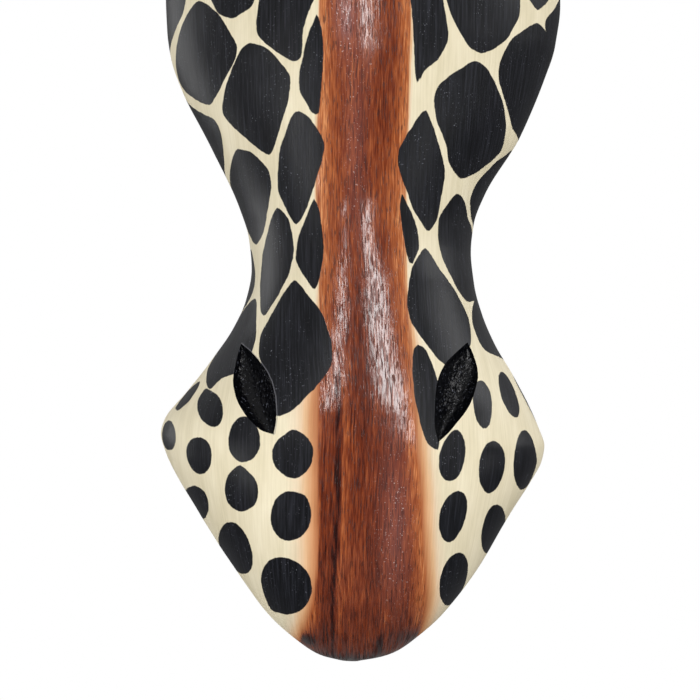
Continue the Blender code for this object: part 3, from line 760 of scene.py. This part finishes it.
def build_face(painted, gouged, socket, chiselled, eye):
    face = raw_face(painted, chiselled)
    carve(face, gouged, socket, chiselled, eye)
    paint(face)
    shade(face)
    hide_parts("face_block")
    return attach(face, "mask")


# ---- Horns and ears ----


def build_horn(side, foot, axis, surface):
    """A whittled shaft under a smooth black knob, bored for its dowel."""
    distances = np.concatenate([np.linspace(0, 96, 49), np.linspace(97, HORN_LENGTH, 26)])
    radii = smooth(HORN_PROFILE, distances)
    bore = [(0, DOWEL_RADIUS + GAP), (HORN_BORE, DOWEL_RADIUS + GAP), (HORN_BORE, 0)]
    profile = [*reversed(list(zip(distances, radii))), *bore]
    horn = turned(f"carved_horn_{side}", foot, axis, profile, surface, 48, HORN_UNEVEN)
    shade(horn, 50)
    offset = corners_of(horn) - np.array(foot)
    along = offset @ np.array(axis.normalized())
    sideways = offset[:, 0] - along * axis.x
    around = np.arctan2(sideways, -offset[:, 1]) * HORN_GRAIN_RADIUS
    black = np.clip(HORN_KNOB_START - along, -FAR, FAR)
    tone = 0.5 - 0.12 * np.clip(along / 60, 0, 1) + 0.35 * np.exp(-((along / 7) ** 2))
    deep = np.full(len(along), STAIN_FAR)
    write_values(horn, around_mm=around, along_mm=along, black_0_mm=black, stain_mm=deep,
                 fade_mm=deep / 4, tone=tone, rim_mm=deep)
    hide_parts(f"horn_{side}")
    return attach(horn, "mask")


def ear_sections(sign, foot):
    """Rings across the ear, an ellipse each, whose middle is pushed back to make the cup."""
    rings = []
    angles = 2 * math.pi * np.arange(EAR_SIDES) / EAR_SIDES
    ends = (1 - np.cos(np.linspace(0, math.pi / 2, 9))) * EAR_TIP
    even = np.linspace(0, EAR_LENGTH - EAR_TIP, 60)
    distances = np.concatenate([even, EAR_LENGTH - ends[::-1][1:]])
    for distance in distances:
        half_width = smooth(EAR_HALF_WIDTH, distance)
        thickness = smooth(EAR_HALF_THICKNESS, distance)
        up = half_width * np.sin(angles)
        bend = smooth(EAR_CUP, distance) * (1 - (up / half_width) ** 2)
        y = thickness * np.cos(angles) + bend
        along = distance * math.cos(EAR_RISE) - up * math.sin(EAR_RISE)
        rise = distance * math.sin(EAR_RISE) + up * math.cos(EAR_RISE)
        rings.append(np.stack([sign * along, y, rise], axis=1) + np.array(foot))
    return rings


def build_ear(side, sign, foot, axis, surface, bare):
    """A cupped leaf, stained inside the cup and spotted on its back."""
    ear = skin(f"carved_ear_{side}", ear_sections(sign, foot), surface)
    bore = rod(f"ear_bore_{side}", foot, axis, DOWEL_RADIUS + GAP, -BORE_REACH, EAR_BORE, bare)
    cut(ear, [bore])
    shade(ear, 50)
    points = corners_of(ear)
    offset = points - np.array(foot)
    unit = np.array(axis.normalized())
    along = offset @ unit
    up = offset @ np.array((-unit[2] * sign, 0, abs(unit[0])))
    bend = smooth(EAR_CUP, along) * (1 - np.clip(up / smooth(EAR_HALF_WIDTH, along), -1, 1) ** 2)
    on_front = offset[:, 1] < bend
    centre, half_length, half_width = EAR_STAIN
    leaf = 1 - np.sqrt(((along - centre) / half_length) ** 2 + (up / half_width) ** 2)
    black = np.full(len(points), FAR)
    for spot_along, spot_up, radius in EAR_SPOTS:
        gap = np.hypot(along - spot_along, up - spot_up) - radius
        black = np.minimum(black, np.where(on_front, FAR, gap))
    rim = smooth(EAR_HALF_WIDTH, along) - np.abs(up)
    on_rim = on_front & (along > EAR_RIM_START)
    black = np.where(on_rim, np.minimum(black, rim - EAR_RIM), black)
    stain = np.maximum(np.where(on_front, leaf * 9, -STAIN_FAR), 15 - along)
    tone = 0.35 + 0.4 * np.exp(-((along / 14) ** 2))
    around = np.where(on_front, up, up + 60)
    write_values(ear, around_mm=around, along_mm=along, black_0_mm=black, stain_mm=stain, tone=tone,
                 fade_mm=np.full(len(up), 4.0), rim_mm=np.full(len(up), FAR))
    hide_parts(f"ear_{side}")
    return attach(ear, "mask")


# ---- Materials ----


def linear(red, green, blue):
    """A colour given as 0 to 255 screen values, as the shader wants it."""
    channels = [channel / 255 for channel in (red, green, blue)]
    return (*[c / 12.92 if c < 0.04045 else ((c + 0.055) / 1.055) ** 2.4 for c in channels], 1)


class Recipe:
    """The nodes of a material or of the world, with short names for those used below."""

    def __init__(self, owner, shader):
        owner.use_nodes = True
        self.owner = owner
        self.tree = owner.node_tree
        self.shader = self.tree.nodes[shader]
        self.coordinates = self.tree.nodes.new("ShaderNodeTexCoord").outputs
        self.place = self.coordinates["Object"]

    def put(self, value, socket):
        """Links an output to a socket, or sets the socket to a plain value."""
        if isinstance(value, bpy.types.NodeSocket):
            self.tree.links.new(value, socket)
        else:
            socket.default_value = value

    def node(self, kind, inputs, output=0, **settings):
        """The output of a new node, with its settings made and its inputs linked or set."""
        made = self.tree.nodes.new("ShaderNode" + kind)
        for name, setting in settings.items():
            setattr(made, name, setting)
        for name, value in inputs.items():
            self.put(value, made.inputs[name])
        return made.outputs[output]

    def finish(self, **inputs):
        for name, value in inputs.items():
            self.put(value, self.shader.inputs[name.replace("_", " ")])
        return self.owner

    def math(self, operation, first, second=0.0):
        return self.node("Math", {0: first, 1: second}, operation=operation)

    def add(self, value, *others):
        for other in others:
            value = self.math("ADD", value, other)
        return value

    def times(self, value, *others):
        for other in others:
            value = self.math("MULTIPLY", value, other)
        return value

    def values(self, name):
        return self.node("Attribute", {}, "Fac", attribute_name=name)

    def follow(self, around, along):
        """Lays the patterns on the surface by two of the mesh's own measures, given in mm."""
        joined = self.node("CombineXYZ", {"X": self.values(around), "Z": self.values(along)})
        self.place = self.node("VectorMath", {0: joined, "Scale": MM}, operation="SCALE")

    def noise(self, size, detail=3.0, roughness=0.55, shift=0.0):
        """Noise from 0 to 1 with features of about size (x, y, z) in mm."""
        stretched = self.node("Mapping", {
            "Vector": self.place, "Location": (shift, shift * 0.7, shift * 1.3),
            "Scale": [1 / (MM * side) for side in size],
        })
        return self.node("TexNoise", {
            "Vector": stretched, "Scale": 1.0, "Detail": detail, "Roughness": roughness,
        }, "Fac")

    def even(self, value, strength):
        """Noise moved to lie about 0, times a strength."""
        return self.times(self.add(value, -0.5), strength)

    def range(self, value, low, high, to_low=0.0, to_high=1.0, kind="SMOOTHSTEP"):
        return self.node("MapRange", {
            "Value": value, "From Min": low, "From Max": high, "To Min": to_low, "To Max": to_high,
        }, "Result", interpolation_type=kind)

    def ramp(self, value, stops, screen=True):
        """A colour for each value, from (value, red, green, blue) stops."""
        node = self.tree.nodes.new("ShaderNodeValToRGB")
        elements = node.color_ramp.elements
        while len(elements) < len(stops):
            elements.new(0.5)
        for element, (position, *colour) in zip(elements, stops):
            element.position = position
            element.color = linear(*colour) if screen else (*colour, 1)
        self.put(value, node.inputs["Fac"])
        return node.outputs["Color"]

    def mix(self, share, first, second, kind="RGBA", blend="MIX"):
        """first where share is 0, second where it is 1."""
        return self.node("Mix", {"Factor": share, "A": first, "B": second}, "Result",
                         data_type=kind, blend_type=blend)

    def mix_values(self, share, first, second):
        return self.mix(share, first, second, "FLOAT")

    def bump(self, height, depth):
        """A bump whose height of 1 stands this deep, in mm."""
        return self.node("Bump", {"Height": height, "Distance": depth * MM}, "Normal")


def surface_recipe(name):
    return Recipe(bpy.data.materials.new(name), "Principled BSDF")


def painted_wood(name, layers=1):
    """Cream paint, a stained and lacquered stripe, and satin black put on by hand over both.

    The mesh gives each point its place round and along the surface, so that grain and brush
    strokes follow the form, and how far it is from the edge of the black and of the stain.
    """
    s = surface_recipe(name)
    s.follow("around_mm", "along_mm")
    broad = s.noise((5, 1, 150), 3)
    grain = s.noise((0.8, 1, 22), 4, 0.65, 3)
    hair = s.noise((0.6, 1, 9), 3, 0.6, 7)
    pores = s.range(s.noise((0.6, 1, 5), 2, 0.5, 13), 0.58, 0.64)
    fibre = s.noise((0.75, 1, 5), 3, 0.6, 61)
    blotch = s.noise((9, 1, 22), 3, 0.5, 19)
    brush = s.noise((0.8, 1, 24), 4, 0.65, 23)
    bristle = s.noise((0.36, 1, 12), 2, 0.6, 29)
    # Sparse pale specks in clusters, laid over the black and raised a little in the bump.
    pale_specks = s.times(s.range(s.noise((0.55, 1, 0.6), 1, 0.5, 41), 0.7, 0.76),
                   s.range(s.noise((12, 1, 15), 2, 0.5, 43), 0.45, 0.6))

    ragged = s.add(s.even(s.noise((5, 1, 5), 2, 0.5, 31), 0.9),
                   s.even(s.noise((1.2, 1, 1.6), 2, 0.5, 37), 0.35))
    to_edge = s.values("black_0_mm")
    for index in range(1, layers):
        to_edge = s.math("MINIMUM", to_edge, s.values(f"black_{index}_mm"))
    black = s.range(s.add(to_edge, ragged), -0.1, -0.45)

    cream = s.ramp(s.add(s.times(brush, 0.5), s.times(blotch, 0.5)), [
        (0.36, 216, 205, 173), (0.5, 227, 216, 186), (0.64, 236, 226, 198),
    ])

    tone = s.add(s.values("tone"), s.even(broad, 0.4), s.even(grain, 0.55), s.even(hair, 1.1),
                 s.even(blotch, 0.2))
    wood = s.ramp(tone, [
        (0.0, 220, 150, 98), (0.25, 176, 100, 56), (0.45, 143, 72, 38), (0.62, 115, 50, 26),
        (0.8, 84, 33, 18), (1.0, 40, 14, 11),
    ])
    # Painted sheen: the stain's colour mixed towards a pale violet reflection where the marks lie.
    haze = s.values("haze")
    wood = s.mix(s.times(haze, 0.45), wood, linear(152, 106, 102))
    wood = s.mix(s.times(pores, 0.6), wood, linear(46, 18, 12))
    # Painted glints: small pale specks of reflected light, only where the sheen is painted.
    painted_glints = s.times(s.range(s.noise((0.55, 1, 0.8), 1, 0.5, 71), 0.68, 0.74), haze)
    wood = s.mix(painted_glints, wood, linear(232, 212, 204))

    # Outside the stripe the stain has soaked under the cream, paler further out.
    soak = s.add(s.values("stain_mm"), s.even(grain, 2.2), s.even(broad, 1.5))
    level = s.math("DIVIDE", soak, s.values("fade_mm"))
    tint = s.ramp(s.range(level, -1, 0, kind="LINEAR"), [
        (0.0, 1, 1, 1), (0.32, 1, 0.92, 0.91), (0.62, 0.93, 0.65, 0.5), (0.8, 0.76, 0.41, 0.26),
        (1.0, 0.52, 0.19, 0.095),
    ], screen=False)
    in_core = s.range(soak, -0.5, 0.9)
    ground = s.mix(in_core, s.mix(1.0, cream, tint, blend="MULTIPLY"), wood)

    satin = s.ramp(s.add(s.times(brush, 0.55), s.times(bristle, 0.45)), [
        (0.36, 9, 9, 12), (0.5, 19, 20, 24), (0.66, 42, 43, 50),
    ])
    satin = s.mix(s.times(pale_specks, 0.8), satin, linear(122, 124, 134))
    colour = s.mix(black, ground, satin)
    # Painted highlight: a thin light grey line along the left nostril's sharp rim.
    painted_rim_highlight = s.range(s.math("ABSOLUTE", s.add(s.values("rim_mm"), -0.2)), 0.36, 0.1)
    colour = s.mix(s.times(painted_rim_highlight, 0.5), colour, linear(118, 118, 123))

    cream_rough = s.range(brush, 0.3, 0.7, 0.45, 0.55)
    wood_rough = s.add(s.range(grain, 0.3, 0.7, 0.15, 0.22), s.times(pores, 0.35))
    ground_rough = s.mix_values(in_core, cream_rough, wood_rough)
    rough = s.mix_values(black, ground_rough, s.range(brush, 0.3, 0.7, 0.32, 0.42))

    wood_height = s.add(s.times(grain, 0.4), s.times(hair, 0.5), s.times(pores, -0.8))
    ground_height = s.mix_values(in_core, s.times(brush, 0.5), wood_height)
    strokes = s.add(s.times(brush, 0.8), s.times(bristle, 0.4), s.times(pale_specks, 0.6), 0.6)
    normal = s.bump(s.mix_values(black, ground_height, strokes), 0.07)
    lacquer = s.times(in_core, s.add(1, s.times(black, -1)), s.add(1, s.times(pores, -0.9)),
                      s.range(fibre, 0.45, 0.52))
    return s.finish(Base_Color=colour, Roughness=rough, Normal=normal, Coat_Weight=lacquer,
                    Coat_Roughness=0.09, Coat_Normal=normal, Specular_IOR_Level=0.25)


def black_gouge(name, depth):
    """A rough gouge cut flooded with gloss black."""
    s = surface_recipe(name)
    lumps = s.noise((1.5, 1.5, 1.9), 2, 0.5)
    grit_and_glints = s.noise((1, 1, 1.2), 2, 0.5, 5)
    # Painted glints: the lightest stop puts small pale specks of reflected light into the black,
    # over the grit's real bumps.
    colour = s.ramp(grit_and_glints, [(0.4, 3, 3, 5), (0.64, 10, 11, 15), (0.74, 84, 87, 96)])
    normal = s.bump(s.add(lumps, s.times(grit_and_glints, 0.3)), depth)
    rough = s.range(grit_and_glints, 0.3, 0.7, 0.1, 0.22)
    return s.finish(Base_Color=colour, Roughness=rough, Normal=normal, Specular_IOR_Level=0.3)


def glossy_eye(name):
    """Dark brown, nearly black, under a hard varnish."""
    s = surface_recipe(name)
    colour = s.ramp(s.noise((4, 4, 5), 3), [(0.35, 26, 12, 8), (0.65, 58, 26, 14)])
    rough = s.range(s.noise((1.5, 1.5, 2), 2), 0.3, 0.7, 0.07, 0.16)
    normal = s.bump(s.noise((6, 6, 7), 2), 0.12)
    return s.finish(Base_Color=colour, Roughness=rough, Normal=normal, Coat_Weight=0.5)


def bare_wood(name, dark, light, size=1.0):
    """Unfinished pale timber, with growth bands, pores and fuzz."""
    s = surface_recipe(name)
    bands = s.noise((5 * size, 4 * size, 110), 3)
    grain = s.noise((0.8 * size, 0.8 * size, 20), 4, 0.65, 3)
    pores = s.range(s.noise((0.5 * size, 0.5 * size, 5), 2, 0.5, 9), 0.6, 0.7)
    dirt = s.noise((30, 20, 40), 4, 0.6, 15)
    tone = s.add(s.times(bands, 0.5), s.times(grain, 0.35), s.times(dirt, 0.3))
    colour = s.ramp(tone, [(0.42, *dark), (0.72, *light)])
    colour = s.mix(s.times(pores, 0.45), colour, linear(104, 70, 40))
    rough = s.add(s.range(grain, 0.3, 0.7, 0.62, 0.78), s.times(pores, 0.1))
    normal = s.bump(s.add(grain, s.times(pores, -0.6)), 0.16)
    return s.finish(Base_Color=colour, Roughness=rough, Normal=normal)


def old_metal(name, bright, dull, grime):
    """Thin plated metal with rolled streaks and a dull bloom in patches."""
    s = surface_recipe(name)
    bloom = s.noise((3.5, 3.5, 3.5), 4, 0.6)
    rolled = s.noise((0.25, 0.25, 6), 3, 0.6, 5)
    spots = s.range(s.noise((0.9, 0.9, 0.9), 3, 0.6, 11), 0.58, 0.7)
    colour = s.mix(s.range(bloom, 0.35, 0.65), linear(*bright), linear(*dull))
    colour = s.mix(s.times(spots, 0.6), colour, linear(*grime))
    rough = s.add(s.range(bloom, 0.35, 0.65, 0.2, 0.4), s.times(spots, 0.25))
    normal = s.bump(s.add(s.times(rolled, 0.5), s.times(spots, -0.4)), 0.03)
    return s.finish(Base_Color=colour, Roughness=rough, Normal=normal, Metallic=1.0)


def matt_floor(name):
    s = surface_recipe(name)
    colour = s.ramp(s.noise((90, 90, 90), 3), [(0.4, 240, 239, 237), (0.6, 242, 241, 239)])
    return s.finish(Base_Color=colour, Roughness=0.7, Emission_Color=colour,
                    Emission_Strength=0.55)


def dress(surface, *nodes):
    """Gives CAD nodes a better material."""
    for node in nodes:
        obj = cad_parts[node]
        if not obj.material_slots:
            obj.data.materials.append(surface)
        for material_slot in obj.material_slots:
            material_slot.material = surface


# ---- Camera, light and floor ----


def add_object(name, data):
    obj = bpy.data.objects.new(name, data)
    bpy.context.scene.collection.objects.link(obj)
    return obj


def add_camera():
    lens = bpy.data.cameras.new("camera")
    lens.sensor_width = SENSOR_WIDTH
    lens.lens = SENSOR_WIDTH / VIEW_WIDTH * VIEW_DISTANCE
    camera = add_object("camera", lens)
    camera.location = (CAMERA_X * MM, -(VIEW_DISTANCE + EDGE_DEPTH * MM), TIP_Z + EYE_LEVEL * MM)
    camera.rotation_euler = (math.pi / 2, 0, 0)
    bpy.context.scene.camera = camera


def add_light(name, azimuth, elevation, width, height, power, shape="RECTANGLE", gloss=True):
    """A soft light that faces the middle of the muzzle. Without gloss, nothing mirrors it."""
    light = bpy.data.lights.new(name, "AREA")
    light.shape = shape
    light.size, light.size_y = width, height
    light.energy = power
    obj = add_object(name, light)
    azimuth, elevation = math.radians(azimuth), math.radians(elevation)
    away = Vector((math.sin(azimuth) * math.cos(elevation),
                   -math.cos(azimuth) * math.cos(elevation), math.sin(elevation)))
    obj.location = Vector((0, LIGHT_AIM_Y, TIP_Z + EYE_LEVEL * MM)) + away * LIGHT_DISTANCE
    obj.rotation_mode = "QUATERNION"
    obj.rotation_quaternion = away.to_track_quat("Z", "Y")
    obj.visible_glossy = gloss


def add_world():
    """A dim room, lighter overhead, seen by the camera as plain white."""
    world = bpy.data.worlds.new("studio")
    bpy.context.scene.world = world
    s = Recipe(world, "Background")
    upward = s.node("SeparateXYZ", {0: s.coordinates["Generated"]}, "Z")
    seen = s.node("LightPath", {}, "Is Camera Ray")
    room = s.range(upward, -0.3, 0.8, 0.12, 0.4)
    s.finish(Color=(1, 1, 1, 1), Strength=s.mix_values(seen, room, 1.0))


def add_floor():
    bm = bmesh.new()
    bmesh.ops.create_circle(bm, cap_ends=True, segments=96, radius=FLOOR_RADIUS)
    mesh = bpy.data.meshes.new("floor")
    bm.to_mesh(mesh)
    bm.free()
    mesh.materials.append(matt_floor("pale_floor"))
    floor = add_object("floor", mesh)
    floor.location = (0, 0, TIP_Z - FLOOR_DROP)
    floor.visible_glossy = False
    floor.visible_diffuse = False
    floor.visible_shadow = False


def main():
    bpy.context.scene.view_settings.view_transform = "Standard"
    chiselled = bare_wood("chiselled_back", (164, 118, 74), (214, 176, 128))
    gouged, socket = black_gouge("gloss_black_gouge", 0.6), black_gouge("satin_black_socket", 0.15)
    build_face(painted_wood("painted_face", MOST_LAYERS + 1), gouged, socket, chiselled,
               glossy_eye("varnished_eye"))
    stands = feet()
    for side, sign in SIDES.items():
        build_horn(side, *stands["horn", side], painted_wood(f"stained_horn_{side}"))
        build_ear(side, sign, *stands["ear", side], painted_wood(f"painted_ear_{side}"), chiselled)
    dress(bare_wood("birch_dowel", (196, 158, 108), (226, 196, 152), 0.6),
          *[f"{piece}_dowel_{side}" for side in SIDES for piece in ("horn", "ear")])
    dress(old_metal("hanger_brass", (226, 186, 104), (176, 134, 66), (92, 66, 34)),
          "hanger_strap", "hanger_ring")
    dress(old_metal("screw_steel", (206, 206, 208), (150, 150, 154), (96, 84, 74)),
          "hanger_screw_upper", "hanger_screw_lower")

    add_camera()
    add_world()
    add_floor()
    for light in LIGHTS:
        add_light(*light)


main()
